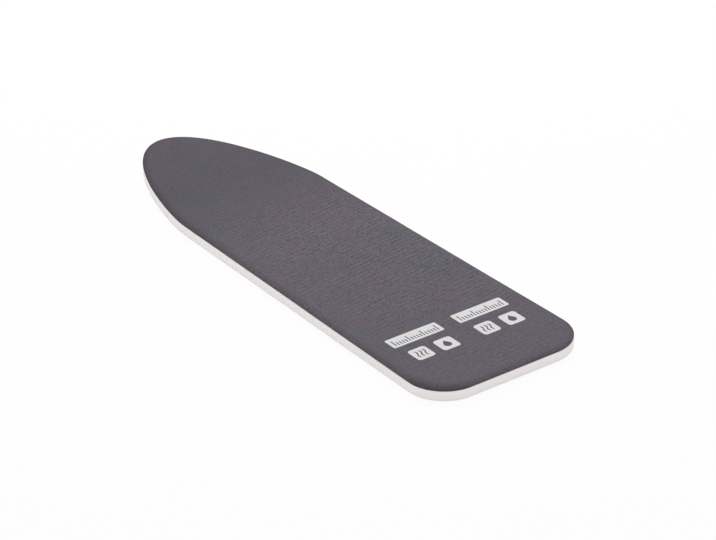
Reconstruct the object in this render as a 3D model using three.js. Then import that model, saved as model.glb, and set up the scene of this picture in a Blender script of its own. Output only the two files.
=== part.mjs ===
// A fitted ironing board cover, as it sits when it is on its board: a padded top panel with a rolled rim,
// a white side band sewn on below it, and a hem that an elastic tape gathers in under the board.
// Millimetres. X runs from the tail to the nose, Y across the board, Z up from the surface it lies on.

import * as THREE from 'three';

// Outline of the cover, seen from above
const coverLength = 1250;
const tailWidth = 400;
const tailCornerRadius = 88;
const noseLength = 363; // from the shoulders, where the straight taper ends, to the tip
const shoulderWidth = 369;
const noseSideReach = 76; // how far the taper runs on before the nose turns in
const noseTipRadius = 68;

// Layers, from the top down
const topFabricThickness = 0.8;
const foamThickness = 5;
const feltThickness = 2;
const bandThickness = 1;
const hemThickness = 0.8;
const elasticThickness = 1;
const clearance = 0.3; // left between two layers that lie on each other

// Rim and side band
const rimReach = 18; // how far in from the edge the rolled rim levels out
const seamTuck = 0.8; // how far the seam between panel and band is drawn in
const bandHeight = 23;
const bandTuckHeight = 2; // stretch of the band that leans in to the seam
const footRadius = 4; // where the band turns under the board

// Hem and elastic
const hemAllowance = 5; // cloth turned up inside the seam between band and hem
const hemWidth = 46; // from the cover's edge to the inner edge of the hem
const elasticWidth = 10;
const tunnelLip = 2.4; // sloping end of the cloth folded back over the elastic
const tunnelSlit = 0.4; // left under that end, where the stitching runs
const gatherHeight = 3; // rise of the hem's folds at its inner edge
const noseFolds = 6.5; // on each side, so that one fold lies at the tip
const cornerFolds = 3;

// Steps of the model's facets
const stepsPerFold = 4;
const tailSteps = 1;
const sideSteps = 2;
const rimSteps = 4;

// Heights that follow from the layers
const seamHeight = bandHeight + clearance;
const feltBottom = seamHeight;
const feltTop = feltBottom + feltThickness;
const foamBottom = feltTop + clearance;
const foamTop = foamBottom + foamThickness;
const topInside = foamTop + clearance;
const topHeight = topInside + topFabricThickness;
const elasticBottom = hemThickness + clearance;
const elasticTop = elasticBottom + elasticThickness;
const tunnelInside = elasticTop + clearance;
const tunnelTop = tunnelInside + hemThickness;

// Insets from the cover's edge that follow from the same sizes
const tongueOuter = seamTuck + topFabricThickness + clearance;
const tongueInner = tongueOuter + bandThickness;
const hemOuter = footRadius + clearance;
const foldRadius = tunnelTop / 2;
const foldInner = hemWidth - foldRadius;
const elasticInner = foldInner - clearance;
const elasticOuter = elasticInner - elasticWidth;
const tunnelStart = elasticOuter - clearance;

// The outline is four stretches from the middle of the tail to the tip of the nose, mirrored for the other side.
function outlineStretches() {
  const tailMiddle = new THREE.Vector2(0, 0);
  const tailEnd = new THREE.Vector2(0, tailWidth / 2 - tailCornerRadius);
  const cornerCentre = new THREE.Vector2(tailCornerRadius, tailEnd.y);
  const shoulder = new THREE.Vector2(coverLength - noseLength, shoulderWidth / 2);
  const tip = new THREE.Vector2(coverLength, 0);

  // The side leaves the corner's arc as its tangent through the shoulder.
  const toShoulder = shoulder.clone().sub(cornerCentre);
  const cornerEndAngle = toShoulder.angle() + Math.acos(tailCornerRadius / toShoulder.length());
  const sideNormal = new THREE.Vector2(Math.cos(cornerEndAngle), Math.sin(cornerEndAngle));
  const sideStart = sideNormal.clone().multiplyScalar(tailCornerRadius).add(cornerCentre);
  const sideDirection = new THREE.Vector2(sideNormal.y, -sideNormal.x);

  // The nose is one curve that carries the taper on and closes square to the axis with the tip's radius.
  const noseBend = sideDirection.clone().multiplyScalar(noseSideReach).add(shoulder);
  const tipHandle = Math.sqrt((noseTipRadius * (coverLength - noseBend.x)) / 1.5);
  const tipBend = new THREE.Vector2(coverLength, tipHandle);

  return [
    { curve: new THREE.LineCurve(tailMiddle, tailEnd), steps: tailSteps, folds: 0 },
    {
      curve: new THREE.EllipseCurve(
        cornerCentre.x, cornerCentre.y, tailCornerRadius, tailCornerRadius, Math.PI, cornerEndAngle, true,
      ),
      steps: cornerFolds * stepsPerFold,
      folds: cornerFolds,
    },
    { curve: new THREE.LineCurve(sideStart, shoulder), steps: sideSteps, folds: 0 },
    {
      curve: new THREE.CubicBezierCurve(shoulder, noseBend, tipBend, tip),
      steps: noseFolds * stepsPerFold,
      folds: noseFolds,
    },
  ];
}

// Stations round the edge: a point, the way out of the cover there, and how far the hem's fold stands up.
function edgeStations() {
  const half = [];
  for (const { curve, steps, folds } of outlineStretches()) {
    for (let step = half.length ? 1 : 0; step <= steps; step += 1) {
      const along = step / steps;
      const point = curve.getPointAt(along);
      const heading = curve.getTangentAt(along);
      const out = new THREE.Vector2(-heading.y, heading.x);
      half.push({ point, out, fold: Math.sin(Math.PI * folds * along) ** 2 });
    }
  }
  const mirrored = half.slice(1, -1).reverse().map(({ point, out, fold }) => ({
    point: new THREE.Vector2(point.x, -point.y),
    out: new THREE.Vector2(out.x, -out.y),
    fold,
  }));
  return half.concat(mirrored);
}

const stations = edgeStations();

// Height that the gathers add to the hem, from nothing at the band's foot to the full fold at the inner edge.
function gatherLift(station, inset) {
  return (gatherHeight * station.fold * (inset - hemOuter)) / (hemWidth - hemOuter);
}

// Carries a section round the edge. In the section, x is the inset from the edge and y the height.
// A closed section gives a ring. An open one starts and ends on a level face across the whole board.
function carryRound(section, { closed = false, lift = null } = {}) {
  const positions = [];
  for (const station of stations) {
    for (const { x: inset, y: height } of section) {
      const raise = lift ? lift(station, inset) : 0;
      positions.push(
        station.point.x - station.out.x * inset - coverLength / 2,
        station.point.y - station.out.y * inset,
        height + raise,
      );
    }
  }

  const count = stations.length;
  const rows = section.length;
  const vertex = (station, row) => (station % count) * rows + (row % rows);
  const faces = [];
  const strips = closed ? rows : rows - 1;
  for (let station = 0; station < count; station += 1) {
    for (let row = 0; row < strips; row += 1) {
      const near = vertex(station, row);
      const ahead = vertex(station + 1, row);
      const aheadNext = vertex(station + 1, row + 1);
      const nearNext = vertex(station, row + 1);
      // Faces that lie on each other are split the same way, from the outer row here to the inner row ahead.
      if (section[row].x < section[(row + 1) % rows].x) {
        faces.push(near, aheadNext, nearNext, near, ahead, aheadNext);
      } else {
        faces.push(near, ahead, nearNext, ahead, aheadNext, nearNext);
      }
    }
  }

  // Level faces run in strips from one side of the board to the other.
  const addLevelFace = (row, up) => {
    const addTriangle = (a, b, c) => (up ? faces.push(a, b, c) : faces.push(a, c, b));
    for (let station = 0; station < count / 2; station += 1) {
      const left = vertex(station, row);
      const leftAhead = vertex(station + 1, row);
      const right = vertex(count - station, row);
      const rightAhead = vertex(count - station - 1, row);
      if (leftAhead !== rightAhead) addTriangle(left, rightAhead, leftAhead);
      if (left !== right) addTriangle(left, right, rightAhead);
    }
  };
  if (!closed) {
    addLevelFace(0, true);
    addLevelFace(rows - 1, false);
  }

  const geometry = new THREE.BufferGeometry();
  geometry.setAttribute('position', new THREE.Float32BufferAttribute(positions, 3));
  geometry.setIndex(faces);
  geometry.computeVertexNormals();
  return geometry;
}

// Points on the rolled rim, a quarter of an ellipse that ends upright at the widest line of the pad.
function rimArc(edgeInset, levelHeight, upward) {
  const quarter = new THREE.EllipseCurve(
    rimReach, foamBottom, rimReach - edgeInset, levelHeight - foamBottom, Math.PI / 2, Math.PI, false,
  );
  const points = quarter.getPoints(rimSteps);
  return upward ? points.reverse() : points;
}

// The dark panel: flat across the board, over the rim, and down to the seam.
function topFabricSection() {
  return [
    ...rimArc(0, topHeight, false),
    new THREE.Vector2(seamTuck, seamHeight),
    new THREE.Vector2(seamTuck + topFabricThickness, seamHeight),
    ...rimArc(topFabricThickness, topInside, true),
  ];
}

// The foam fills the rim and thins out to its edge.
function foamSection() {
  return rimArc(topFabricThickness + clearance, foamTop, false);
}

// The felt is cut square, just inside the tongue of the band.
function feltSection() {
  return [
    new THREE.Vector2(tongueInner + clearance, feltTop),
    new THREE.Vector2(tongueInner + clearance, feltBottom),
  ];
}

// The white band: a tongue that the panel laps over, upright along the side, and turned in at its foot.
function bandSection() {
  const wallTop = bandHeight - bandTuckHeight;
  const footMiddle = (radius) => new THREE.Vector2(-Math.SQRT1_2, -Math.SQRT1_2)
    .multiplyScalar(radius)
    .addScalar(footRadius);
  return [
    new THREE.Vector2(tongueInner, feltTop),
    new THREE.Vector2(tongueOuter, feltTop),
    new THREE.Vector2(tongueOuter, bandHeight),
    new THREE.Vector2(seamTuck, bandHeight),
    new THREE.Vector2(0, wallTop),
    new THREE.Vector2(0, footRadius),
    footMiddle(footRadius),
    new THREE.Vector2(footRadius, 0),
    new THREE.Vector2(footRadius, bandThickness),
    footMiddle(footRadius - bandThickness),
    new THREE.Vector2(bandThickness, footRadius),
    new THREE.Vector2(bandThickness, wallTop),
    new THREE.Vector2(tongueInner, bandHeight),
  ];
}

// The hem: up inside its seam with the band, in along the underside, round the elastic and back over it.
function hemSection() {
  const lipEnd = tunnelStart - tunnelLip;
  const lipBottom = hemThickness + tunnelSlit;
  const foldCorner = foldRadius * Math.SQRT1_2;
  return [
    new THREE.Vector2(hemOuter, hemAllowance),
    new THREE.Vector2(hemOuter, 0),
    new THREE.Vector2(foldInner, 0),
    new THREE.Vector2(foldInner + foldCorner, foldRadius - foldCorner),
    new THREE.Vector2(foldInner + foldCorner, foldRadius + foldCorner),
    new THREE.Vector2(foldInner, tunnelTop),
    new THREE.Vector2(tunnelStart, tunnelTop),
    new THREE.Vector2(lipEnd, lipBottom + hemThickness),
    new THREE.Vector2(lipEnd, lipBottom),
    new THREE.Vector2(tunnelStart, tunnelInside),
    new THREE.Vector2(foldInner, tunnelInside),
    new THREE.Vector2(foldInner, hemThickness),
    new THREE.Vector2(tunnelStart, hemThickness),
    new THREE.Vector2(hemOuter + hemThickness, hemThickness),
    new THREE.Vector2(hemOuter + hemThickness, hemAllowance),
  ];
}

// The flat tape in the hem's tunnel.
function elasticSection() {
  return [
    new THREE.Vector2(elasticOuter, elasticBottom),
    new THREE.Vector2(elasticInner, elasticBottom),
    new THREE.Vector2(elasticInner, elasticTop),
    new THREE.Vector2(elasticOuter, elasticTop),
  ];
}

function addPiece(group, name, geometry, { color, roughness }) {
  const material = new THREE.MeshStandardMaterial({ color, roughness, metalness: 0 });
  const mesh = new THREE.Mesh(geometry, material);
  mesh.name = name;
  group.add(mesh);
}

const cover = new THREE.Group();
cover.name = 'ironing_board_cover';
addPiece(cover, 'top_fabric', carryRound(topFabricSection()), { color: 0x605d63, roughness: 0.95 });
addPiece(cover, 'foam_pad', carryRound(foamSection()), { color: 0xe9e3cf, roughness: 0.9 });
addPiece(cover, 'felt_backing', carryRound(feltSection()), { color: 0xd5d3ce, roughness: 1 });
addPiece(cover, 'side_band', carryRound(bandSection(), { closed: true }), { color: 0xe4e0dd, roughness: 0.9 });
addPiece(
  cover,
  'gathered_hem',
  carryRound(hemSection(), { closed: true, lift: gatherLift }),
  { color: 0xdfdcd9, roughness: 0.9 },
);
addPiece(
  cover,
  'hem_elastic',
  carryRound(elasticSection(), { closed: true, lift: gatherLift }),
  { color: 0xf0efec, roughness: 0.8 },
);

export default cover;
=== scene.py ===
"""Looks of an ironing board cover: dark ribbed top, white side band, gathered hem underneath."""

import math

import bmesh
import bpy
import numpy as np
from mathutils import Matrix, Vector
from mathutils.bvhtree import BVHTree
from mathutils.geometry import delaunay_2d_cdt


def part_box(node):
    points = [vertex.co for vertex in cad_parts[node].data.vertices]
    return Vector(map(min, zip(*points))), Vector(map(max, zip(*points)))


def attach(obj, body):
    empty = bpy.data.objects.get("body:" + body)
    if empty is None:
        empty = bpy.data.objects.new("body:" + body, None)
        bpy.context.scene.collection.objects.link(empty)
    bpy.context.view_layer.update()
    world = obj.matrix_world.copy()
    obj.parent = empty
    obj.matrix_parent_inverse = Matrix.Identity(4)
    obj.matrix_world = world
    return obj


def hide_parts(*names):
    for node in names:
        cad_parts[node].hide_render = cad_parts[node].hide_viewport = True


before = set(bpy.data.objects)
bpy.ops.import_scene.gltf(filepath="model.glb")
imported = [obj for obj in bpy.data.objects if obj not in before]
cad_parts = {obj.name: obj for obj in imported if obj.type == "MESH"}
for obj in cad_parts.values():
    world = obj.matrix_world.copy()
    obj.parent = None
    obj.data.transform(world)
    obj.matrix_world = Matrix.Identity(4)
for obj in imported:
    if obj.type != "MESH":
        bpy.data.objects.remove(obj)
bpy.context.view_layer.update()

MM = 0.001
TURN = 2 * math.pi
UP = Vector((0, 0, 1))
CLOTH_MAP = "cloth_map"  # mesh layer that holds places on the cloth

# Outline of the cover, seen from above
COVER_LENGTH = 1250 * MM
TAIL_WIDTH = 400 * MM
TAIL_CORNER_RADIUS = 88 * MM
NOSE_LENGTH = 363 * MM
SHOULDER_WIDTH = 369 * MM
NOSE_SIDE_REACH = 76 * MM
NOSE_TIP_RADIUS = 68 * MM
EDGE_DRIFT = 0.25 * MM  # how far the sewn edge strays from its line
DRIFT_WAVES = [(7, 0.5, 0.4), (11, 0.35, 2.1), (23, 0.25, 4.0), (41, 0.2, 1.2)]

# Fineness of the meshes
EDGE_STEP = 4 * MM
GATHERED_EDGE_STEP = 2 * MM
CURVE_SAMPLES = 4001  # points that a stretch of the edge is measured on
CURVE_NUDGE = 1e-4  # share of a stretch over which its heading is taken
TOP_SPACING = 6 * MM
FELT_SPACING = 9 * MM
PRINT_SPACING = 6 * MM
FILL_GAP = 0.6  # least distance of a fill's points from its border, in spacings
FILL_TOLERANCE = 1e-7
INSIDE_LESS_HOLES = 2  # which faces the triangulation keeps
SHARP_ANGLE = math.radians(50)  # a sharper edge is shaded as a cut edge

# Layers and their clearance
PANEL_THICKNESS = 0.8 * MM
BAND_THICKNESS = 1.0 * MM
HEM_THICKNESS = 0.8 * MM
ELASTIC_THICKNESS = 1.0 * MM
CLEARANCE = 0.3 * MM

# Heights of the layers, from the frame
FELT_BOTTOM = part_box("felt_backing")[0].z
FELT_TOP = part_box("felt_backing")[1].z
FOAM_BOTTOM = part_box("foam_pad")[0].z
TOP_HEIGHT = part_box("top_fabric")[1].z
SEAM_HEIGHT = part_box("top_fabric")[0].z
BAND_HEIGHT = SEAM_HEIGHT - CLEARANCE
ELASTIC_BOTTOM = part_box("hem_elastic")[0].z

# Rolled rim of the top: how far in from the edge it levels out, by stretch
TAIL_RIM = 12 * MM
NEAR_CORNER_RIM = 25 * MM
FAR_CORNER_RIM = 14 * MM
SIDE_RIM = 14 * MM
NOSE_RIM = 15 * MM
RIM_BLEND = 60 * MM

# Panel and its padding
PANEL_LAP = 11 * MM  # cloth beyond the outline: 4 for the rim's fall and 7 for the seam
SEAM_TUCK = 0.8 * MM
FALL_TUCK = 0.25  # share of the tuck that the panel has on its fall to the seam
FALL_HEIGHT = 0.55  # where that is, as a share of the way up from the seam
LEVEL_INSET = 46 * MM  # from here in, the top is one level sheet
TOP_DROP = 0.5 * MM  # how far below the solid the top lies before it is pushed out
PUFF_PRESSURE = 0.4  # push of the padding on the panel
PUFF_FRAMES = 20
PUFF_LIMIT = 1.1 * MM  # how far the padding pushes the panel out
LEAST_MOVE = 1e-9
SETTLE_HEIGHT = 0.22 * MM  # unevenness of the padded top
SETTLE_WAVES = [
    (2.1, 1.2, 0.5, 0.3), (3.3, -2.4, 0.4, 1.9), (5.2, 3.1, 0.3, 4.4), (1.1, 4.3, 0.3, 2.6),
]

# Side band
BAND_TONGUE = SEAM_TUCK + PANEL_THICKNESS + CLEARANCE  # inset of the tongue under the panel's lap
BAND_TUCK_HEIGHT = 2 * MM
SHOULDER_TUCK = 0.3  # share of the tuck that the band has on its rounded shoulder
SHOULDER_DROP = 0.4  # where that is, as a share of the tuck's height
BAND_BULGE = 0.35 * MM
BAND_EVEN_SHARE = 0.75  # share of the bulge that is the same all round
BAND_WAVES = [(19, 0.5, 1.0), (31, 0.4, 3.2), (53, 0.3, 0.6)]
WALL_ROWS = 8
FOOT_RADIUS = 4 * MM
FOOT_ROWS = 6

# Felt
FELT_INSET = BAND_TONGUE + BAND_THICKNESS + CLEARANCE
FELT_SOFT_EDGE = 0.35 * MM
FELT_LUMPS = 0.5  # height of its lumps, as a share of the top's unevenness
FELT_LUMP_FINENESS = 3  # how many times closer they lie

# Hem and elastic
HEM_ALLOWANCE = 5 * MM
HEM_START = FOOT_RADIUS + CLEARANCE  # inset of the seam inside the band's foot
HEM_WIDTH = 46 * MM
HEM_ROWS = 12
HEM_REST = 0.3 * MM  # the hem lies on its stitching, not on its cloth
FOLD_HEIGHT = 3 * MM
NOSE_FOLDS = 6.5
CORNER_FOLDS = 3
GATHER_PITCH = 10.5 * MM
GATHER_HEIGHT = 2.4 * MM
GATHER_BLEND = 25 * MM
GATHER_SHARPNESS = 1.4  # power that makes the gathers narrower than their gaps
GATHER_GROWTH = 1.3  # power by which they grow towards the inner edge
GATHER_STRAY = 2.6  # how far their rhythm wanders, in radians
GATHER_WANDER = [(9, 0.6, 0.2), (17, 0.5, 2.7), (37, 0.45, 5.1), (61, 0.3, 3.3)]
GATHER_EVEN_SHARE = 0.72  # share of their height that is the same all round
GATHER_UNEVEN = [(47, 0.5, 0.9), (83, 0.5, 4.2)]
STRAIGHT_GATHER = 0.22  # share of the gathers that the straight sides keep
ELASTIC_WIDTH = 10 * MM
ELASTIC_SOFT_EDGE = 0.3 * MM
ELASTIC_ROWS = 5

# Tunnel that the hem folds round its tape: height of its top, and insets
TUNNEL_TOP = ELASTIC_BOTTOM + ELASTIC_THICKNESS + CLEARANCE + HEM_THICKNESS
TUNNEL_RADIUS = TUNNEL_TOP / 2
TUNNEL_FOLD = HEM_WIDTH - TUNNEL_RADIUS
TUNNEL_FOLD_STEPS = 6
ELASTIC_INNER = TUNNEL_FOLD - CLEARANCE
ELASTIC_OUTER = ELASTIC_INNER - ELASTIC_WIDTH
TUNNEL_START = ELASTIC_OUTER - CLEARANCE
TUNNEL_LIP = 2.4 * MM
TUNNEL_SLIT = 0.4 * MM

# Stitching
STITCH_PITCH = 3.4 * MM
STITCH_LENGTH = 2.7 * MM
STITCH_BOW = 2  # how far a stitch bows out of the cloth, in thread radii
STITCH_RINGS = 5
THREAD_RADIUS = 0.17 * MM
THREAD_SIDES = 6
THREAD_END = 0.6  # thickness of a stitch at its ends, as a share
SEAM_STITCHING = FOOT_RADIUS + 3 * MM  # inset of the row along the hem's seam
TUNNEL_STITCHING = TUNNEL_START - TUNNEL_LIP / 2  # and of the row along its tunnel

# Prints on the tail end of the top
PRINT_LIFT = 0.16 * MM
PRINT_THICKNESS = 0.1 * MM
PRINT_FROM = 1.0  # height from which a print is laid down on the cover
PRINT_GROUPS = {"near": 86 * MM, "far": -82 * MM}  # middle of each group, across the board
SCALE_BAR_PLACE = -411 * MM
SCALE_BAR_SIZE = (36 * MM, 128 * MM)
SCALE_BAR_CORNER = 4 * MM
TICK_COUNT = 16
TICK_STEP = 7.2 * MM
TICK_WIDTH = 2.8 * MM
TICK_MARGIN = 6 * MM
SHORT_TICK = 12 * MM
LONG_TICK = 21 * MM
LONG_TICK_EVERY = 5
TILE_PLACE = -475 * MM
TILE_SIZE = 43 * MM
TILE_CORNER = 7 * MM
TILE_SPREAD = 32 * MM  # from the middle of the group to the middle of a tile
STEAM_HEIGHT = 24 * MM
STEAM_HALF_STROKE = 1.7 * MM
STEAM_SWAY = 2.2 * MM
STEAM_SPREAD = 9.5 * MM
STEAM_POINTS = 25
DROP_RADIUS = 9 * MM
DROP_HEIGHT = 16 * MM
DROP_SHIFT = -3 * MM
DROP_POINTS = 40

# Camera of the photograph
SENSOR_WIDTH = 36.0
LENS = 167.6
CAMERA_DISTANCE = 7.034
CAMERA_HEADING = math.radians(127.13)
CAMERA_TILT = math.radians(29.12)
AIM_RIGHT = 65.9 * MM
AIM_DOWN = 45.6 * MM
AWAY = Vector((math.sin(CAMERA_HEADING), math.cos(CAMERA_HEADING), 0))  # level, out from the camera

# Studio
PLAIN_WHITE = (1.0, 1.0, 1.0, 1.0)
FLOOR_SIZE = 12.0
FLOOR_PALE = (0.92, 0.92, 0.92, 1.0)
FLOOR_GLOW = 0.92  # share of it that shows as plain white
WORLD_LIGHT = 0.55
WALL_LIGHT = {"start": 0.0, "end": 0.7, "before": 0.84, "after": 0.0}  # less and less up the walls
WALL_SIDE = {"start": 0.0, "end": 0.8, "before": 1.0, "after": 0.0}  # none on the softbox's side
SOFTBOX_SIZE = 3.6
SOFTBOX_HEIGHT = 3.2
SOFTBOX_BACK = 2.2  # beyond the cover, as the camera sees it
SOFTBOX_POWER = 88.0


def new_object(name, data):
    """A new object in the scene."""
    thing = bpy.data.objects.new(name, data)
    bpy.context.collection.objects.link(thing)
    return thing


def photo_camera():
    """Camera at the photograph's angle and framing."""
    right = Vector((math.cos(CAMERA_HEADING), -math.sin(CAMERA_HEADING), 0))
    forward = AWAY * math.cos(CAMERA_TILT) - UP * math.sin(CAMERA_TILT)
    up = AWAY * math.sin(CAMERA_TILT) + UP * math.cos(CAMERA_TILT)
    aim = UP * SEAM_HEIGHT + right * AIM_RIGHT - up * AIM_DOWN
    data = bpy.data.cameras.new("photo_camera")
    data.sensor_width = SENSOR_WIDTH
    data.lens = LENS
    camera = new_object("photo_camera", data)
    turn = Matrix((right, up, -forward)).transposed().to_4x4()
    camera.matrix_world = Matrix.Translation(aim - forward * CAMERA_DISTANCE) @ turn
    bpy.context.scene.camera = camera


class Shade:
    """A socket of a node tree. Arithmetic on it adds Math nodes."""

    def __init__(self, tree, socket):
        self.tree = tree
        self.socket = socket

    def math(self, operation, *terms):
        node = self.tree.nodes.new("ShaderNodeMath")
        node.operation = operation
        for socket, term in zip(node.inputs, terms):
            feed(self.tree, socket, term)
        return Shade(self.tree, node.outputs[0])

    def __add__(self, other):
        return self.math("ADD", self, other)

    def __radd__(self, other):
        return self.math("ADD", other, self)

    def __sub__(self, other):
        return self.math("SUBTRACT", self, other)

    def __rsub__(self, other):
        return self.math("SUBTRACT", other, self)

    def __mul__(self, other):
        return self.math("MULTIPLY", self, other)

    def sine(self):
        return self.math("SINE", self)

    def most(self, other):
        return self.math("MAXIMUM", self, other)


def feed(tree, socket, value):
    """Links a shade to a socket, or sets the socket's own value."""
    if isinstance(value, Shade):
        tree.links.new(value.socket, socket)
    else:
        socket.default_value = value


def tint(colour, factor):
    """A colour made lighter or darker, with full alpha."""
    return tuple(channel * factor for channel in colour) + (1.0,)


class Finish:
    """The node tree of a material or a world, written as expressions."""

    def __init__(self, owner):
        owner.use_nodes = True
        self.owner = owner
        self.tree = owner.node_tree
        self.tree.nodes.clear()

    def add(self, kind, settings=None, values=None, output=0):
        """One shader node: its settings, then the values or links of its sockets."""
        node = self.tree.nodes.new("ShaderNode" + kind)
        for name, value in (settings or {}).items():
            setattr(node, name, value)
        for name, value in (values or {}).items():
            feed(self.tree, node.inputs[name], value)
        return Shade(self.tree, node.outputs[output]) if node.outputs else None

    def place(self):
        """The place in the cover's frame."""
        return self.add("TexCoord", output="Object")

    def cloth_map(self):
        """The place on the cloth itself."""
        return self.add("UVMap", {"uv_map": CLOTH_MAP})

    def axes(self, vector):
        node = self.add("SeparateXYZ", values={"Vector": vector}).socket.node
        return [Shade(self.tree, socket) for socket in node.outputs]

    def noise(self, vector, per_metre, detail=2.0, roughness=0.5):
        """Soft noise about zero, with about so many patches to the metre."""
        values = {"Vector": vector, "Scale": per_metre, "Detail": detail, "Roughness": roughness}
        return self.add("TexNoise", values=values) - 0.5

    def stretched(self, vector, along=1.0, across=1.0):
        """The place scaled along or across, so that a pattern on it is drawn out that way."""
        factors = (along, across, 1.0)
        return self.add("VectorMath", {"operation": "MULTIPLY"}, {0: vector, 1: factors})

    def fade(self, value, start, end, before, after):
        """A smooth change from one level to another."""
        values = {
            "Value": value, "From Min": start, "From Max": end, "To Min": before, "To Max": after,
        }
        return self.add("MapRange", {"interpolation_type": "SMOOTHSTEP"}, values)

    def blend(self, factor, first, second):
        """A colour between two colours."""
        values = {0: factor, 6: first, 7: second}
        return self.add("Mix", {"data_type": "RGBA"}, values, output=2)

    def toned(self, tone, colour, darkest, palest):
        """A colour that is darkest at tone 0 and palest at tone 1."""
        return self.blend(tone, tint(colour, darkest), tint(colour, palest))

    def cloth(self, colour, roughness, height, specular, sheen=0.0, sheen_roughness=0.5):
        """Closes the tree with a cloth shader and gives its material. Height is in millimetres."""
        normal = self.add("Bump", values={"Distance": MM, "Height": height})
        values = {
            "Base Color": colour, "Roughness": roughness, "Normal": normal,
            "Specular IOR Level": specular,
            "Sheen Weight": sheen, "Sheen Roughness": sheen_roughness,
        }
        shader = self.add("BsdfPrincipled", values=values)
        self.add("OutputMaterial", values={"Surface": shader})
        return self.owner


def new_finish(name):
    """The finish of a new material."""
    return Finish(bpy.data.materials.new(name))


def ridges(distance, pitch):
    """Even ridges, from -1 to 1."""
    return (distance * (TURN / pitch)).sine()


def plain_weave(along, across, pitch):
    """Yarns that pass over and under each other, from -1 to 1."""
    return ridges(along, pitch) * ridges(across, pitch)


# Ribbed dark cloth
COOL_GREY = (0.126, 0.124, 0.143)
WARM_GREY = (0.142, 0.117, 0.140)
DARKEST_YARN = 0.3
PALEST_YARN = 1.7
PANEL_WEAVE_PITCH = 1.4 * MM
RIB_PITCH = 12.3 * MM
RIB_SLANT = 0.11
RIB_DRIFT = 8 * MM
RIBS_AT_TAIL = {"start": -460 * MM, "end": -240 * MM, "before": 0.52, "after": 1.0}
RIBS_AT_NOSE = {"start": 20 * MM, "end": 340 * MM, "before": 1.0, "after": 0.12}
RIBS_AT_NEAR_SIDE = {"start": 0.0, "end": 160 * MM, "before": 1.0, "after": 0.65}
RIBS_AT_SEAM = {"start": 5 * MM, "end": 40 * MM, "before": 0.3, "after": 1.0}
# Painted shade: the cloth's colour darkens towards the nose
PAINTED_SHADE_AT_NOSE = {"start": 20 * MM, "end": 400 * MM, "before": 0.0, "after": -0.14}
PAINTED_SHADE_AT_SEAM = {"start": 0.0, "end": 22 * MM, "before": -0.16, "after": 0.0}  # painted shade, darker towards the seam
# Painted shade: the darkening towards the seam is deepened on the near corner's rim
PAINTED_SHADE_AT_CORNER = {"start": SIDE_RIM, "end": NEAR_CORNER_RIM, "before": 1.0, "after": 2.2}


def ribbed_dark_cloth():
    """Dark grey cloth with soft broken cross ribs that are pressed flat towards both ends."""
    finish = new_finish("ribbed_dark_cloth")
    place = finish.place()
    crosswise = finish.stretched(place, across=0.5)
    length, width, _ = finish.axes(place)
    from_seam, rim_reach, _ = finish.axes(finish.cloth_map())
    middle = finish.fade(length, **RIBS_AT_TAIL) * finish.fade(length, **RIBS_AT_NOSE)
    middle = middle * finish.fade(width, **RIBS_AT_NEAR_SIDE)
    drift = finish.noise(place, per_metre=12.0) * RIB_DRIFT
    dashes = 0.5 + finish.noise(crosswise, per_metre=52.0) * 3.6
    ribs = ridges(length + width * RIB_SLANT + drift, RIB_PITCH) * middle * dashes
    ribs = ribs * finish.fade(from_seam, **RIBS_AT_SEAM)
    yarn = finish.noise(crosswise, per_metre=520.0, detail=3.0)
    fleck = finish.noise(place, per_metre=1500.0, detail=1.0)
    cloud = finish.noise(place, per_metre=12.0, detail=4.0, roughness=0.6)
    slub = finish.noise(finish.stretched(place, across=0.75), per_metre=260.0)
    slub = slub * (0.18 + middle * 0.75)
    weave = plain_weave(length, width, PANEL_WEAVE_PITCH)
    # Painted shade: the colour darkens towards the seam, more deeply on the near corner's rim
    shade = finish.fade(from_seam, **PAINTED_SHADE_AT_SEAM) * finish.fade(rim_reach, **PAINTED_SHADE_AT_CORNER)
    # Painted shade: the colour darkens towards the nose
    shade = shade + finish.fade(length, **PAINTED_SHADE_AT_NOSE)
    # The ribs are darker in their grooves than on their crests: partly the cloth's own rib pattern,
    # partly painted shade
    tone = 0.5 + ribs * 0.12 + yarn * 0.2 + slub + fleck * 0.14 + cloud * 0.1 + weave * 0.18 + shade
    hue = 0.5 + finish.noise(place, per_metre=14.0, detail=3.0) * 2.2
    dark = finish.blend(hue, tint(COOL_GREY, DARKEST_YARN), tint(WARM_GREY, DARKEST_YARN))
    pale = finish.blend(hue, tint(COOL_GREY, PALEST_YARN), tint(WARM_GREY, PALEST_YARN))
    grey = finish.blend(tone, dark, pale)
    height = ribs * 0.07 + weave * 0.08 + yarn * 0.08
    roughness = 0.88 + ribs * 0.03 + fleck * 0.1
    return finish.cloth(grey, roughness, height, specular=0.08)


PRINT_PALE = (0.73, 0.72, 0.73)


def pale_print():
    """Pale ink pressed into the ribbed cloth, a little thin on the yarns' edges."""
    finish = new_finish("pale_print")
    place = finish.place()
    length, width, _ = finish.axes(place)
    worn = finish.noise(finish.stretched(place, across=0.4), per_metre=420.0, detail=4.0)
    patch = finish.noise(place, per_metre=60.0)
    weave = plain_weave(length, width, PANEL_WEAVE_PITCH)
    ink = finish.toned(0.55 + worn * 0.7 + patch * 0.4, PRINT_PALE, darkest=0.82, palest=1.1)
    height = weave * 0.015 + worn * 0.03
    return finish.cloth(ink, roughness=0.62 + worn * 0.25, height=height, specular=0.35)


BAND_WHITE = (0.914, 0.881, 0.876)
TWILL_PITCH = 1.3 * MM


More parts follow.
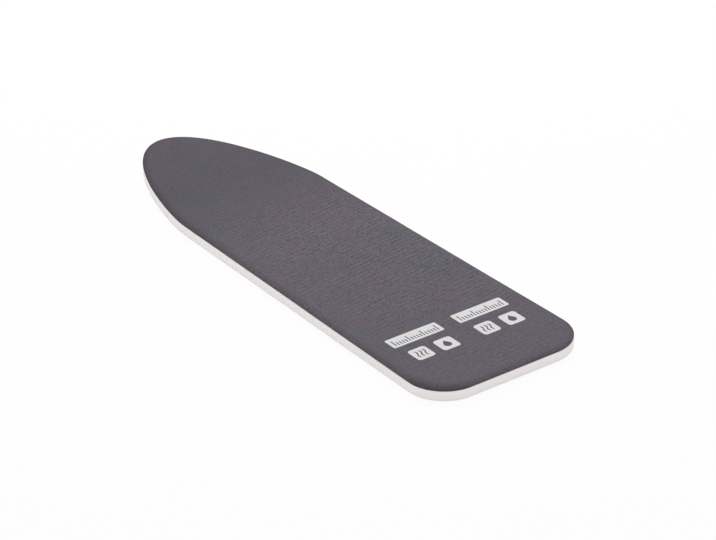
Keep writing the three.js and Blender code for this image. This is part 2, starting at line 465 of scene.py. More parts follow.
def white_twill():
    """White band cloth with a fine slanting twill and slightly uneven yarn."""
    finish = new_finish("white_twill")
    cloth = finish.cloth_map()
    along, across, _ = finish.axes(cloth)
    twill = ridges(along + across, TWILL_PITCH)
    yarn = finish.noise(finish.stretched(cloth, along=0.25), per_metre=900.0)
    shade = finish.noise(finish.place(), per_metre=11.0)
    tone = 0.55 + twill * 0.5 + yarn * 0.2 + shade * 0.3
    white = finish.toned(tone, BAND_WHITE, darkest=0.93, palest=1.05)
    height = twill * 0.035 + yarn * 0.02
    return finish.cloth(white, roughness=0.84 + yarn * 0.1, height=height, specular=0.3, sheen=0.05)


HEM_WHITE = (0.82, 0.805, 0.79)
HEM_WEAVE_PITCH = 1.1 * MM


def white_hem_cloth():
    """Light plain-woven cloth, creased a little where the elastic draws it in."""
    finish = new_finish("white_hem_cloth")
    cloth = finish.cloth_map()
    along, across, _ = finish.axes(cloth)
    weave = plain_weave(along, across, HEM_WEAVE_PITCH)
    crease = finish.noise(finish.stretched(cloth, across=0.22), per_metre=160.0, detail=3.0)
    yarn = finish.noise(cloth, per_metre=800.0)
    tone = 0.5 + weave * 0.06 + crease * 0.4 + yarn * 0.25
    white = finish.toned(tone, HEM_WHITE, darkest=0.92, palest=1.07)
    height = weave * 0.03 + crease * 0.3 + yarn * 0.03
    roughness = 0.86 + yarn * 0.1
    return finish.cloth(white, roughness, height, specular=0.28, sheen=0.05)


FELT_PALE = (0.64, 0.63, 0.60)
NEEDLE_PITCH = 6 * MM
NEEDLE_STRAY = 4 * MM
NEEDLE_MARK = 0.55  # height above which the pattern shows as a mark


def needle_felt():
    """Pale needle felt: matted fibres, flecks, and faint rows of needle marks."""
    finish = new_finish("needle_felt")
    place = finish.place()
    length, width, _ = finish.axes(place)
    fibres = {"detail": 5.0, "roughness": 0.65}
    matted = finish.noise(finish.stretched(place, across=0.3), per_metre=420.0, **fibres)
    crossed = finish.noise(finish.stretched(place, along=0.3), per_metre=380.0, **fibres)
    cloud = finish.noise(place, per_metre=13.0, detail=3.0)
    rows = plain_weave(length + cloud * NEEDLE_STRAY, width, NEEDLE_PITCH)
    marks = rows.most(NEEDLE_MARK) - NEEDLE_MARK
    tone = 0.5 + matted * 0.5 + crossed * 0.45 + cloud * 0.5 - marks * 0.35
    pale = finish.toned(tone, FELT_PALE, darkest=0.78, palest=1.2)
    height = (matted + crossed) * 0.5 - marks * 0.5
    roughness = 0.95 + matted * 0.05
    return finish.cloth(pale, roughness, height, specular=0.12, sheen=0.2, sheen_roughness=0.7)


FOAM_CREAM = (0.8, 0.76, 0.62)
FOAM_CELLS_PER_METRE = 900.0


def open_foam():
    """Cream foam with open cells."""
    finish = new_finish("open_cell_foam")
    place = finish.place()
    values = {"Vector": place, "Scale": FOAM_CELLS_PER_METRE}
    cells = finish.add("TexVoronoi", {"feature": "F1"}, values)
    patch = finish.noise(place, per_metre=25.0)
    cream = finish.toned(0.35 + cells * 0.5 + patch * 0.3, FOAM_CREAM, darkest=0.75, palest=1.1)
    return finish.cloth(cream, roughness=0.92 - cells * 0.08, height=cells * 0.35, specular=0.2)


ELASTIC_WHITE = (0.86, 0.85, 0.83)
ELASTIC_RIB_PITCH = 1.2 * MM
KNIT_PITCH = 0.9 * MM


def ribbed_elastic():
    """White elastic tape with rubber ribs along it and a knitted ground."""
    finish = new_finish("ribbed_elastic")
    cloth = finish.cloth_map()
    along, across, _ = finish.axes(cloth)
    ribs = ridges(across, ELASTIC_RIB_PITCH)
    knit = plain_weave(along, across, KNIT_PITCH)
    shade = finish.noise(cloth, per_metre=90.0)
    tone = 0.5 + ribs * 0.18 + knit * 0.08 + shade * 0.3
    white = finish.toned(tone, ELASTIC_WHITE, darkest=0.86, palest=1.06)
    height = ribs * 0.12 + knit * 0.03
    return finish.cloth(white, roughness=0.75 + shade * 0.1, height=height, specular=0.35)


THREAD_WHITE = (0.88, 0.87, 0.85)
TWIST_PITCH = 0.5 * MM


def white_thread():
    """Twisted sewing thread."""
    finish = new_finish("white_thread")
    place = finish.place()
    length, width, depth = finish.axes(place)
    twist = ridges(length + width + depth, TWIST_PITCH)
    shade = finish.noise(place, per_metre=300.0)
    white = finish.toned(0.5 + twist * 0.15 + shade * 0.4, THREAD_WHITE, darkest=0.85, palest=1.05)
    return finish.cloth(white, roughness=0.6 + shade * 0.2, height=twist * 0.02, specular=0.4)


def run_up(steps):
    """Distance gone at the start and after each step."""
    return np.concatenate([[0], np.cumsum(steps)])


def ring_steps(points):
    """Distance from each point of a closed ring to the next one."""
    return np.linalg.norm(np.roll(points, -1, 0) - points, axis=1)


def half_edge(stretches, key):
    """One value for each station of half the edge. A stretch starts where the last one ended."""
    return np.concatenate([s[key][1:] if i else s[key] for i, s in enumerate(stretches)])


def whole_edge(near, far):
    """Values of the near half, then of the far half on the way back, without its two ends."""
    return np.concatenate([near, far[-2:0:-1]])


class Edge:
    """Stations round the edge, from the middle of the tail by the near side to the tip and back."""

    def __init__(self, spacing):
        stretches = half_outline(spacing)
        keys = ("points", "outs", "fold", "curl", "rim", "far_rim")
        points, outs, fold, curl, rim, far_rim = (half_edge(stretches, key) for key in keys)
        mirror = np.array([1, -1])
        self.points = whole_edge(points, points * mirror)
        self.outs = whole_edge(outs, outs * mirror)
        self.fold = whole_edge(fold, fold)
        self.curl = whole_edge(curl, curl)
        self.count = len(self.points)
        steps = ring_steps(self.points)
        self.perimeter = float(steps.sum())
        self.along = run_up(steps)[:-1]
        self.points += self.outs * (EDGE_DRIFT * self.ripple(DRIFT_WAVES))[:, None]
        self.rim = self.blended(whole_edge(rim, far_rim), RIM_BLEND)

    def blended(self, values, reach):
        """Values round the edge, each a soft mean over that reach to both sides."""
        steps = max(1, round(reach / (self.perimeter / self.count)))
        window = np.hanning(2 * steps + 3)[1:-1]
        wrapped = np.concatenate([values[-steps:], values, values[:steps]])
        return np.convolve(wrapped, window / window.sum(), mode="valid")

    def ripple(self, waves):
        """A sum of waves round the edge: each a whole number of turns, a share and a start."""
        turn = self.along / self.perimeter * TURN
        return sum(share * np.sin(count * turn + start) for count, share, start in waves)

    def gathering(self):
        """How tightly the hem is gathered: full on the corners and the nose, less on the sides."""
        return STRAIGHT_GATHER + (1 - STRAIGHT_GATHER) * self.blended(self.curl, GATHER_BLEND)


def half_outline(spacing):
    """The four stretches of half the edge. The hem's broad folds lie on the corner and the nose."""
    tail_end = np.array([0, TAIL_WIDTH / 2 - TAIL_CORNER_RADIUS])
    centre = np.array([TAIL_CORNER_RADIUS, tail_end[1]])
    shoulder = np.array([COVER_LENGTH - NOSE_LENGTH, SHOULDER_WIDTH / 2])
    to_shoulder = shoulder - centre
    reach = np.linalg.norm(to_shoulder)
    corner_end = math.atan2(to_shoulder[1], to_shoulder[0]) + math.acos(TAIL_CORNER_RADIUS / reach)
    side_out = np.array([math.cos(corner_end), math.sin(corner_end)])
    side_start = centre + side_out * TAIL_CORNER_RADIUS
    side_heading = np.array([side_out[1], -side_out[0]])
    nose_bend = shoulder + side_heading * NOSE_SIDE_REACH
    # A cubic curve ends with the radius 1.5 * handle ** 2 / depth
    tip_handle = math.sqrt(NOSE_TIP_RADIUS * (COVER_LENGTH - nose_bend[0]) / 1.5)
    tip = np.array([COVER_LENGTH, 0])
    tip_bend = np.array([COVER_LENGTH, tip_handle])

    def line(start, end):
        return lambda t: start + (end - start) * t[:, None]

    def corner(t):
        angle = math.pi + (corner_end - math.pi) * t
        return centre + TAIL_CORNER_RADIUS * np.stack([np.cos(angle), np.sin(angle)], 1)

    def nose(t):
        t = t[:, None]
        inner = 3 * (1 - t) ** 2 * t * nose_bend + 3 * (1 - t) * t ** 2 * tip_bend
        return (1 - t) ** 3 * shoulder + inner + t ** 3 * tip

    return [
        even_stretch(line(np.zeros(2), tail_end), spacing, 0, TAIL_RIM, TAIL_RIM),
        even_stretch(corner, spacing, CORNER_FOLDS, NEAR_CORNER_RIM, FAR_CORNER_RIM),
        even_stretch(line(side_start, shoulder), spacing, 0, SIDE_RIM, SIDE_RIM),
        even_stretch(nose, spacing, NOSE_FOLDS, NOSE_RIM, NOSE_RIM),
    ]


def even_stretch(curve, spacing, folds, rim, far_rim):
    """Even steps along a curve, with the way out, the hem's folds and the rim's reach at each."""
    fine = np.linspace(0, 1, CURVE_SAMPLES)
    travelled = run_up(np.linalg.norm(np.diff(curve(fine), axis=0), axis=1))
    steps = max(2, round(travelled[-1] / spacing))
    share = np.linspace(0, 1, steps + 1)
    at = np.interp(share * travelled[-1], travelled, fine)
    heading = curve(np.minimum(at + CURVE_NUDGE, 1)) - curve(np.maximum(at - CURVE_NUDGE, 0))
    heading /= np.linalg.norm(heading, axis=1)[:, None]
    return {
        "points": curve(at) - np.array([COVER_LENGTH / 2, 0]),
        "outs": np.stack([-heading[:, 1], heading[:, 0]], 1),
        "fold": np.sin(math.pi * folds * share) ** 2,
        "curl": np.full(steps + 1, 1.0 if folds else 0.0),
        "rim": np.full(steps + 1, rim),
        "far_rim": np.full(steps + 1, far_rim),
    }


def settle(points):
    """Height of the shallow unevenness of the padded top at points of the plan."""
    x, y = points[..., 0], points[..., 1]
    height = np.zeros_like(x)
    for wave_x, wave_y, share, start in SETTLE_WAVES:
        height = height + share * np.sin(TURN * (x * wave_x + y * wave_y) + start)
    return SETTLE_HEIGHT * height


def level_rows(edge, steps=8):
    """Rows on the soft shoulder between the level top and the rim."""
    return [(LEVEL_INSET + (edge.rim - LEVEL_INSET) * i / steps, TOP_HEIGHT) for i in range(steps)]


def rim_arc(edge, steps=9):
    """Rows over the rolled rim, from the level top out to the widest line."""
    rise = TOP_HEIGHT - FOAM_BOTTOM
    angles = np.linspace(math.pi / 2, math.pi, steps + 1)
    return [(edge.rim * (1 + math.cos(a)), FOAM_BOTTOM + rise * math.sin(a)) for a in angles]


def padded_rows(rows, edge):
    """The rows, a little slack and with the padding's unevenness added above its widest line."""
    shaped = []
    for inset, height in rows:
        share = np.clip((height - FOAM_BOTTOM) / (TOP_HEIGHT - FOAM_BOTTOM), 0, 1)
        ramp = np.clip(inset / LEVEL_INSET, 0, 1) ** 2
        plan = edge.points - edge.outs * np.reshape(inset, (-1, 1))
        shaped.append((inset, height - share * TOP_DROP + ramp * settle(plan)))
    return shaped


def new_piece(name, points, faces, material, node=None, map_points=None):
    """A mesh piece on the cover's one body, smooth but for its cut edges, in place of a node."""
    mesh = bpy.data.meshes.new(name)
    mesh.from_pydata([tuple(p) for p in points], [], faces)
    if map_points is not None:
        layer = mesh.uv_layers.new(name=CLOTH_MAP)
        layer.data.foreach_set("uv", np.asarray(map_points, dtype=np.float32).ravel())
    shape = bmesh.new()
    shape.from_mesh(mesh)
    bmesh.ops.recalc_face_normals(shape, faces=shape.faces)
    shape.to_mesh(mesh)
    shape.free()
    mesh.shade_smooth()
    mesh.set_sharp_from_angle(angle=SHARP_ANGLE)
    mesh.materials.append(material)
    piece = new_object(name, mesh)
    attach(piece, "root")
    if node:
        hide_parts(node)
    return piece


def ring_points(edge, rows):
    """Points of each row at each station. A row is an inset from the edge and a height."""
    points = np.zeros((edge.count, len(rows), 3))
    for row, (inset, height) in enumerate(rows):
        inset = np.broadcast_to(inset, edge.count)
        points[:, row, :2] = edge.points - edge.outs * inset[:, None]
        points[:, row, 2] = height
    return points


def ring_faces(count, rows, closed):
    """Faces between neighbouring stations of a section with that many rows."""
    faces = []
    for station in range(count):
        here, ahead = station * rows, (station + 1) % count * rows
        for row in range(rows if closed else rows - 1):
            below = (row + 1) % rows
            faces.append((here + row, ahead + row, ahead + below, here + below))
    return faces


def carried_piece(name, edge, rows, material, node):
    """A piece made of a closed section carried round the edge, with its places on the cloth."""
    points = ring_points(edge, rows)
    wrapped = np.concatenate([points, points[:, :1]], axis=1)
    across = run_up(np.linalg.norm(np.diff(wrapped, axis=1), axis=2).mean(0))
    along = np.append(edge.along, edge.perimeter)
    corners = [(0, 0), (1, 0), (1, 1), (0, 1)]
    places = [
        (along[station + ahead], across[row + below])
        for station in range(edge.count) for row in range(len(rows)) for ahead, below in corners
    ]
    faces = ring_faces(edge.count, len(rows), closed=True)
    return new_piece(name, points.reshape(-1, 3), faces, material, node, places)


def even_fill(loops, spacing):
    """Plan points and triangles inside the first loop and outside the others, even in size."""
    border = np.concatenate([np.asarray(loop, dtype=float) for loop in loops])
    low, high = border.min(0), border.max(0)
    row_gap = spacing * math.sqrt(0.75)  # rows of even-sided triangles
    points = [border]
    for number, y in enumerate(np.arange(low[1] + spacing, high[1], row_gap)):
        x = np.arange(low[0] + spacing * (1 + number % 2) / 2, high[0], spacing)
        line = np.column_stack([x, np.full(len(x), y)])
        gap = np.linalg.norm(line[:, None] - border[None], axis=2).min(1)
        points.append(line[gap > FILL_GAP * spacing])
    points = np.concatenate(points)
    rings, start = [], 0
    for loop in loops:
        rings.append(list(range(start, start + len(loop))))
        start += len(loop)
    corners = [Vector(point) for point in points]
    faces = delaunay_2d_cdt(corners, [], rings, INSIDE_LESS_HOLES, FILL_TOLERANCE)[2]
    used = np.arange(len(points)) < len(border)
    used[np.unique(np.array(faces))] = True
    index = np.cumsum(used) - 1
    return points[used], [tuple(int(index[i]) for i in face) for face in faces]


def seat_fill(fill, count, rows, row, first):
    """A fill's faces: its border is one row of a section, its other points start at first."""
    def seat(i):
        return i * rows + row if i < count else first + i - count

    return [tuple(seat(i) for i in face) for face in fill]


def layered_solid(edge, fill, upper, lower):
    """A solid between two layers, each given as its rings, from the inside out, and its sheet."""
    rings = np.concatenate([upper[0], lower[0][:, ::-1]], axis=1)
    rows = rings.shape[1]
    first = edge.count * rows
    faces = ring_faces(edge.count, rows, closed=False)
    faces += seat_fill(fill, edge.count, rows, 0, first)
    faces += seat_fill(fill, edge.count, rows, rows - 1, first + len(upper[1]))
    return np.concatenate([rings.reshape(-1, 3), upper[1], lower[1]]), faces


def at_height(points, height):
    """The same plan at one height."""
    level = points.copy()
    level[..., 2] = height
    return level


class PaddedFace:
    """The outer face of the panel: held at its seam, and pushed out by the padding under it."""

    def __init__(self, edge):
        self.edge = edge
        over_foam = level_rows(edge) + rim_arc(edge)
        fall = SEAM_HEIGHT + (FOAM_BOTTOM - SEAM_HEIGHT) * FALL_HEIGHT
        turn_in = [(SEAM_TUCK * FALL_TUCK, fall), (SEAM_TUCK, SEAM_HEIGHT)]
        self.foam_rows = len(over_foam)
        rings = ring_points(edge, padded_rows(over_foam + turn_in, edge))
        self.rows = rings.shape[1]
        self.split = edge.count * self.rows
        plan, self.fill = even_fill([edge.points - edge.outs * LEVEL_INSET], TOP_SPACING)
        inner = plan[edge.count:]
        sheet = np.column_stack([inner, TOP_HEIGHT - TOP_DROP + settle(inner)])
        points = np.concatenate([rings.reshape(-1, 3), sheet])
        faces = ring_faces(edge.count, self.rows, closed=False)
        faces += seat_fill(self.fill, edge.count, self.rows, 0, self.split)
        row = np.arange(self.split) % self.rows
        held = np.flatnonzero(row >= self.foam_rows - 1).tolist()
        self.points, self.normals = puff_up(points, faces, held)
        steps = np.linalg.norm(np.diff(rings, axis=1), axis=2).mean(0)
        self.from_seam = run_up(steps[::-1])[::-1]

    def layer(self, depth, rows):
        """The layer at a depth below the face, as far out as that many rows."""
        points = self.points - self.normals * depth
        rings = points[:self.split].reshape(self.edge.count, self.rows, 3)
        return rings[:, :rows], points[self.split:]


def puff_up(points, faces, held):
    """Cloth pushed out by its padding, up to a soft limit: its points, and the way out at each."""
    mesh = bpy.data.meshes.new("pushed_cloth")
    mesh.from_pydata(points.tolist(), [], faces)
    cloth = new_object("pushed_cloth", mesh)
    seam = cloth.vertex_groups.new(name="seam")
    seam.add(held, 1.0, "REPLACE")
    push = cloth.modifiers.new("push", "CLOTH")
    push.settings.vertex_group_mass = seam.name
    push.settings.use_pressure = True
    push.settings.uniform_pressure_force = PUFF_PRESSURE
    push.settings.effector_weights.gravity = 0
    push.collision_settings.use_collision = False
    push.point_cache.frame_end = PUFF_FRAMES
    scene = bpy.context.scene
    for moment in range(1, PUFF_FRAMES + 1):
        scene.frame_set(moment)
    pushed = np.zeros(len(points) * 3)
    settled = cloth.evaluated_get(bpy.context.evaluated_depsgraph_get())
    settled.data.vertices.foreach_get("co", pushed)
    scene.frame_set(1)
    move = pushed.reshape(-1, 3) - points
    length = np.maximum(np.linalg.norm(move, axis=1, keepdims=True), LEAST_MOVE)
    moved = points + move / length * PUFF_LIMIT * np.tanh(length / PUFF_LIMIT)
    bpy.data.objects.remove(cloth)
    mesh.vertices.foreach_set("co", moved.ravel())
    mesh.update()
    normals = np.zeros(len(points) * 3)
    mesh.vertex_normals.foreach_get("vector", normals)
    bpy.data.meshes.remove(mesh)
    return moved, normals.reshape(-1, 3)


def outline_area(edge, spread):
    """Area inside the edge when it is spread outwards by some distance."""
    x, y = (edge.points + edge.outs * spread).T
    return float(abs(np.dot(x, np.roll(y, -1)) - np.dot(y, np.roll(x, -1))) / 2)


def top_panel(face, material):
    """The dark panel: level across the board, over the rim and down to the seam."""
    upper = face.layer(0, face.rows)
    lower = face.layer(PANEL_THICKNESS, face.rows)
    points, faces = layered_solid(face.edge, face.fill, upper, lower)
    from_seam = np.tile(np.concatenate([face.from_seam, face.from_seam[::-1]]), face.edge.count)
    from_seam = np.append(from_seam, np.full(len(points) - len(from_seam), face.from_seam[0]))
    rim_reach = np.repeat(face.edge.rim, 2 * face.rows)
    rim_reach = np.append(rim_reach, np.zeros(len(points) - len(rim_reach)))
    places = [(from_seam[i], rim_reach[i]) for corners in faces for i in corners]
    return new_piece("top_panel", points, faces, material, "top_fabric", places)


def foam_layer(face, material):
    """The foam under the panel, thinned out to its edge."""
    rings, sheet = face.layer(PANEL_THICKNESS + CLEARANCE, face.foam_rows)
    rings[..., 2] = np.maximum(rings[..., 2], FOAM_BOTTOM)
    lower = (at_height(rings[:, :1], FOAM_BOTTOM), at_height(sheet, FOAM_BOTTOM))
    points, faces = layered_solid(face.edge, face.fill, (rings, sheet), lower)
    return new_piece("foam_layer", points, faces, material, "foam_pad")


def felt_layer(edge, material):
    """The felt that lies on the board, with a soft uneven face."""
    soft = FELT_SOFT_EDGE
    level = FELT_INSET + soft
    plan, fill = even_fill([edge.points - edge.outs * level], FELT_SPACING)
    inner = plan[edge.count:]
    lumps = FELT_LUMPS * np.abs(settle(inner * FELT_LUMP_FINENESS))
    upper = ring_points(edge, [(level, FELT_TOP), (FELT_INSET, FELT_TOP - soft)])
    lower = ring_points(edge, [(level, FELT_BOTTOM), (FELT_INSET, FELT_BOTTOM + soft)])
    upper_sheet = np.column_stack([inner, np.full(len(inner), FELT_TOP)])
    lower_sheet = np.column_stack([inner, FELT_BOTTOM + lumps])
    points, faces = layered_solid(edge, fill, (upper, upper_sheet), (lower, lower_sheet))
    return new_piece("felt_layer", points, faces, material, "felt_backing")


def side_band(edge, material):
    """The white band: a tongue under the panel's lap, a slightly full wall and a turned-in foot."""
    tongue_end = BAND_TONGUE + BAND_THICKNESS
    wall_top = BAND_HEIGHT - BAND_TUCK_HEIGHT
    bulge = BAND_BULGE * (BAND_EVEN_SHARE + (1 - BAND_EVEN_SHARE) * edge.ripple(BAND_WAVES))
    shares = np.linspace(1, 0, WALL_ROWS)
    wall_heights = FOOT_RADIUS + (wall_top - FOOT_RADIUS) * shares
    foot_angles = np.linspace(0, math.pi / 2, FOOT_ROWS + 1)[1:]
    foot = [(math.cos(a), math.sin(a)) for a in foot_angles]

    def wall(inset):
        return [(inset - bulge * math.sin(math.pi * s), z) for s, z in zip(shares, wall_heights)]

    def foot_arc(radius):
        return [(FOOT_RADIUS - radius * x, FOOT_RADIUS - radius * z) for x, z in foot]

    rows = [
        (tongue_end, FELT_TOP), (BAND_TONGUE, FELT_TOP), (BAND_TONGUE, BAND_HEIGHT),
        (SEAM_TUCK, BAND_HEIGHT),
        (SEAM_TUCK * SHOULDER_TUCK, BAND_HEIGHT - BAND_TUCK_HEIGHT * SHOULDER_DROP),
    ]
    rows += wall(0) + foot_arc(FOOT_RADIUS)
    rows += foot_arc(FOOT_RADIUS - BAND_THICKNESS)[::-1] + wall(BAND_THICKNESS)[::-1]
    rows += [(tongue_end, BAND_HEIGHT)]
    return carried_piece("white_side_band", edge, rows, material, "side_band")


def gather_lift(edge, inset):
    """Height that broad folds and fine gathers add to the hem, from its seam to its inner edge."""
    ramp = np.clip((inset - HEM_START) / (HEM_WIDTH - HEM_START), 0, 1)
    turn = edge.along / edge.perimeter * TURN
    count = round(edge.perimeter / GATHER_PITCH)
    fine = 0.5 + 0.5 * np.sin(count * turn + GATHER_STRAY * edge.ripple(GATHER_WANDER))
    uneven = GATHER_EVEN_SHARE + (1 - GATHER_EVEN_SHARE) * edge.ripple(GATHER_UNEVEN)
    gathers = GATHER_HEIGHT * edge.gathering() * uneven * fine ** GATHER_SHARPNESS
    return HEM_REST + FOLD_HEIGHT * edge.fold * ramp + gathers * ramp ** GATHER_GROWTH


def gathered(edge, section):
    """A section of the hem or its tape, lifted by the folds and gathers."""
    return [(inset, height + gather_lift(edge, inset)) for inset, height in section]


def hem_cloth(edge, material):
    """The hem: up inside its seam, in under the board, round the tape and back over it."""
    inner_start = HEM_START + HEM_THICKNESS
    lip_end = TUNNEL_START - TUNNEL_LIP
    lip_bottom = HEM_THICKNESS + TUNNEL_SLIT
    inside = TUNNEL_TOP - HEM_THICKNESS
    under = np.linspace(HEM_START, TUNNEL_FOLD, HEM_ROWS)
    bend = np.linspace(-math.pi / 2, math.pi / 2, TUNNEL_FOLD_STEPS + 1)[1:-1]
    radius = TUNNEL_RADIUS
    section = [(HEM_START, HEM_ALLOWANCE)] + [(inset, 0.0) for inset in under]
    section += [(TUNNEL_FOLD + radius * math.cos(a), radius + radius * math.sin(a)) for a in bend]
    section += [
        (TUNNEL_FOLD, TUNNEL_TOP), (TUNNEL_START, TUNNEL_TOP),
        (lip_end, lip_bottom + HEM_THICKNESS), (lip_end, lip_bottom),
        (TUNNEL_START, inside), (TUNNEL_FOLD, inside),
    ]
    section += [(inset, HEM_THICKNESS) for inset in np.maximum(under[::-1], inner_start)]
    section += [(inner_start, HEM_ALLOWANCE)]
    rows = gathered(edge, section)
    return carried_piece("gathered_hem_cloth", edge, rows, material, "gathered_hem")


def elastic_tape(edge, material):
    """The flat tape in the hem's tunnel, with rounded edges."""
    soft = ELASTIC_SOFT_EDGE
    bottom, top = ELASTIC_BOTTOM, ELASTIC_BOTTOM + ELASTIC_THICKNESS
    insets = np.linspace(ELASTIC_OUTER + soft, ELASTIC_INNER - soft, ELASTIC_ROWS)
    section = [(inset, bottom) for inset in insets]
    section += [(ELASTIC_INNER, bottom + soft), (ELASTIC_INNER, top - soft)]
    section += [(inset, top) for inset in insets[::-1]]
    section += [(ELASTIC_OUTER, top - soft), (ELASTIC_OUTER, bottom + soft)]
    rows = gathered(edge, section)
    return carried_piece("elastic_tape", edge, rows, material, "hem_elastic")


def stitch_row(name, edge, inset, material):
    """A row of stitches on the underside of the hem, each dipping into the cloth at both ends."""
    plan = edge.points - edge.outs * inset
    track = np.column_stack([plan, gather_lift(edge, inset)])
    track = np.concatenate([track, track[:1]])
    travelled = run_up(ring_steps(plan))
    count = round(travelled[-1] / STITCH_PITCH)
    shares = np.linspace(0, 1, STITCH_RINGS)
    bow = np.sin(math.pi * shares)
    thick = THREAD_RADIUS * (THREAD_END + (1 - THREAD_END) * bow)
    angles = np.linspace(0, TURN, THREAD_SIDES, endpoint=False)
    tube = ring_faces(THREAD_SIDES, STITCH_RINGS, closed=False)
    for end in (0, STITCH_RINGS - 1):
        tube.append(tuple(side * STITCH_RINGS + end for side in range(THREAD_SIDES)))
    points, faces = [], []
    for stitch in range(count):
        at = (stitch * travelled[-1] / count + shares * STITCH_LENGTH) % travelled[-1]
        line = np.column_stack([np.interp(at, travelled, track[:, axis]) for axis in range(3)])
        line[:, 2] += THREAD_RADIUS * (1 - STITCH_BOW * bow)
        heading = line[-1] - line[0]
        heading /= np.linalg.norm(heading)
        beside = np.cross(heading, (0, 0, 1))
        beside /= np.linalg.norm(beside)
        above = np.cross(beside, heading)
        faces += [tuple(len(points) + corner for corner in face) for face in tube]
        for angle in angles:
            outward = math.cos(angle) * beside + math.sin(angle) * above
            points += list(line + thick[:, None] * outward)
    return new_piece(name, points, faces, material)


def rounded_rectangle(width, length, radius, corner_steps=8):
    """Outline of a rectangle with round corners, about the origin."""
    corners = [(1, 1, 0), (-1, 1, 1), (-1, -1, 2), (1, -1, 3)]
    points = []
    for side_x, side_y, quarter in corners:
        x, y = side_x * (width / 2 - radius), side_y * (length / 2 - radius)
        for step in range(corner_steps + 1):
            angle = (quarter + step / corner_steps) * math.pi / 2
            points.append((x + radius * math.cos(angle), y + radius * math.sin(angle)))
    return points


def steam_waves():
    """Three wavy strokes that rise side by side."""
    strokes = []
    shares = np.linspace(0, 1, STEAM_POINTS)
    for middle in (-STEAM_SPREAD, 0, STEAM_SPREAD):
        x = (shares - 0.5) * STEAM_HEIGHT
        y = middle + STEAM_SWAY * np.sin(TURN * shares)
        near = list(zip(x, y + STEAM_HALF_STROKE))
        far = list(zip(x, y - STEAM_HALF_STROKE))
        strokes.append(near + far[::-1])
    return strokes


def water_drop():
    """A drop with a round foot and a pointed top."""
    lean = math.acos(DROP_RADIUS / DROP_HEIGHT)
    angles = np.linspace(lean, TURN - lean, DROP_POINTS)
    foot = [(DROP_SHIFT + DROP_RADIUS * math.cos(a), DROP_RADIUS * math.sin(a)) for a in angles]
    return [[(DROP_SHIFT + DROP_HEIGHT, 0.0), *foot]]


def scale_ticks():
    """Plain ticks of a measuring scale, with longer ones at even distances."""
    ticks = []
    start = -SCALE_BAR_SIZE[0] / 2 + TICK_MARGIN
    for tick in range(TICK_COUNT):
        y = (tick - (TICK_COUNT - 1) / 2) * TICK_STEP
        near, far = y - TICK_WIDTH / 2, y + TICK_WIDTH / 2
        end = start + (SHORT_TICK if tick % LONG_TICK_EVERY else LONG_TICK)
        ticks.append([(start, near), (end, near), (end, far), (start, far)])
    return ticks


def flat_print(name, loops, middle, tree, material):
    """A thin print with cut-outs that lies on the panel."""
    plan, triangles = even_fill(loops, PRINT_SPACING)
    plan = plan + np.array(middle)
    heights = np.array([tree.ray_cast(Vector((x, y, PRINT_FROM)), -UP)[0].z for x, y in plan])
    upper = np.column_stack([plan, heights + PRINT_LIFT])
    lower = upper - np.array([0, 0, PRINT_THICKNESS])
    count = len(plan)
    faces = triangles + [tuple(i + count for i in reversed(t)) for t in triangles]
    start = 0
    for loop in loops:
        for i in range(len(loop)):
            here, ahead = start + i, start + (i + 1) % len(loop)
            faces.append((here, ahead, ahead + count, here + count))
        start += len(loop)
    return new_piece(name, np.concatenate([upper, lower]), faces, material)


def prints(panel, material):
    """On each half of the tail: a measuring scale, and two tiles with steam and a drop."""
    tree = BVHTree.FromObject(panel, bpy.context.evaluated_depsgraph_get())
    tile = rounded_rectangle(TILE_SIZE, TILE_SIZE, TILE_CORNER)
    bar = rounded_rectangle(*SCALE_BAR_SIZE, SCALE_BAR_CORNER)
    for side, middle in PRINT_GROUPS.items():
        scale_place = (SCALE_BAR_PLACE, middle)
        steam_place = (TILE_PLACE, middle + TILE_SPREAD)
        drop_place = (TILE_PLACE, middle - TILE_SPREAD)
        flat_print(f"scale_print_{side}", [bar, *scale_ticks()], scale_place, tree, material)
        flat_print(f"steam_print_{side}", [tile, *steam_waves()], steam_place, tree, material)
        flat_print(f"drop_print_{side}", [tile, *water_drop()], drop_place, tree, material)


def seen_rays(finish):
    """One for rays that show the background: straight, mirrored or through glass."""
    names = ("Is Camera Ray", "Is Glossy Ray", "Is Transmission Ray")
    camera, glossy, through = (finish.add("LightPath", output=name) for name in names)
    return camera.most(glossy).most(through)


def white_surroundings():
    """A white background, and soft light from all round that is weaker on the softbox's side."""
    sky = Finish(bpy.data.worlds.new("white_surroundings"))
    bpy.context.scene.world = sky.owner
    seen = seen_rays(sky)
    east, north, climb = sky.axes(sky.add("TexCoord", output="Generated"))
    beyond = east * AWAY.x + north * AWAY.y
    walls = sky.fade(climb, **WALL_LIGHT) * sky.fade(beyond, **WALL_SIDE)
    strength = seen + (1 - seen) * (WORLD_LIGHT + walls)
    light = sky.add("Background", values={"Color": PLAIN_WHITE, "Strength": strength})
    sky.add("OutputWorld", values={"Surface": light})


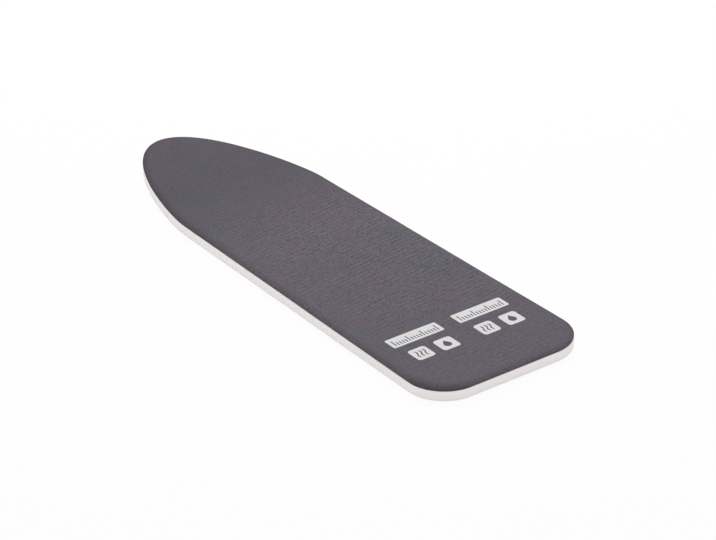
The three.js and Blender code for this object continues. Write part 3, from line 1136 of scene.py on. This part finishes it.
def pale_floor():
    """A plain floor that keeps the cover's shadow."""
    finish = new_finish("pale_floor")
    matt = finish.add("BsdfDiffuse", values={"Color": FLOOR_PALE})
    glow = finish.add("Emission", values={"Color": PLAIN_WHITE, "Strength": 1.0})
    shares = {0: seen_rays(finish) * FLOOR_GLOW, 1: matt, 2: glow}
    both = finish.add("MixShader", values=shares)
    finish.add("OutputMaterial", values={"Surface": both})
    mesh = bpy.data.meshes.new("pale_floor")
    half = FLOOR_SIZE / 2
    corners = [(-half, -half, 0), (half, -half, 0), (half, half, 0), (-half, half, 0)]
    mesh.from_pydata(corners, [], [(0, 1, 2, 3)])
    mesh.materials.append(finish.owner)
    floor = new_object("pale_floor", mesh)


def softbox():
    """One broad soft light above the far side, turned to the cover."""
    lamp = bpy.data.lights.new("softbox", "AREA")
    lamp.shape = "SQUARE"
    lamp.size = SOFTBOX_SIZE
    lamp.energy = SOFTBOX_POWER
    light = new_object("softbox", lamp)
    light.location = AWAY * SOFTBOX_BACK + UP * SOFTBOX_HEIGHT
    light.rotation_euler = light.location.to_track_quat("Z", "Y").to_euler()


def dress():
    """Every piece of the cover, and what each one is as cloth or padding."""
    edge = Edge(EDGE_STEP)
    gathered_edge = Edge(GATHERED_EDGE_STEP)
    thread = white_thread()
    face = PaddedFace(edge)
    panel = top_panel(face, ribbed_dark_cloth())
    foam = foam_layer(face, open_foam())
    felt = felt_layer(edge, needle_felt())
    band = side_band(edge, white_twill())
    hem = hem_cloth(gathered_edge, white_hem_cloth())
    tape = elastic_tape(gathered_edge, ribbed_elastic())
    seam_stitches = stitch_row("hem_seam_stitching", gathered_edge, SEAM_STITCHING, thread)
    tunnel_stitches = stitch_row("tunnel_stitching", gathered_edge, TUNNEL_STITCHING, thread)
    prints(panel, pale_print())

    panel_area = outline_area(edge, PANEL_LAP)
    felt_area = outline_area(edge, -FELT_INSET)
    hem_cut = HEM_WIDTH + HEM_ALLOWANCE + ELASTIC_WIDTH + TUNNEL_LIP
    tape_length = edge.perimeter - TURN * HEM_WIDTH


bpy.context.scene.view_settings.view_transform = "Standard"
photo_camera()
white_surroundings()
pale_floor()
softbox()
dress()
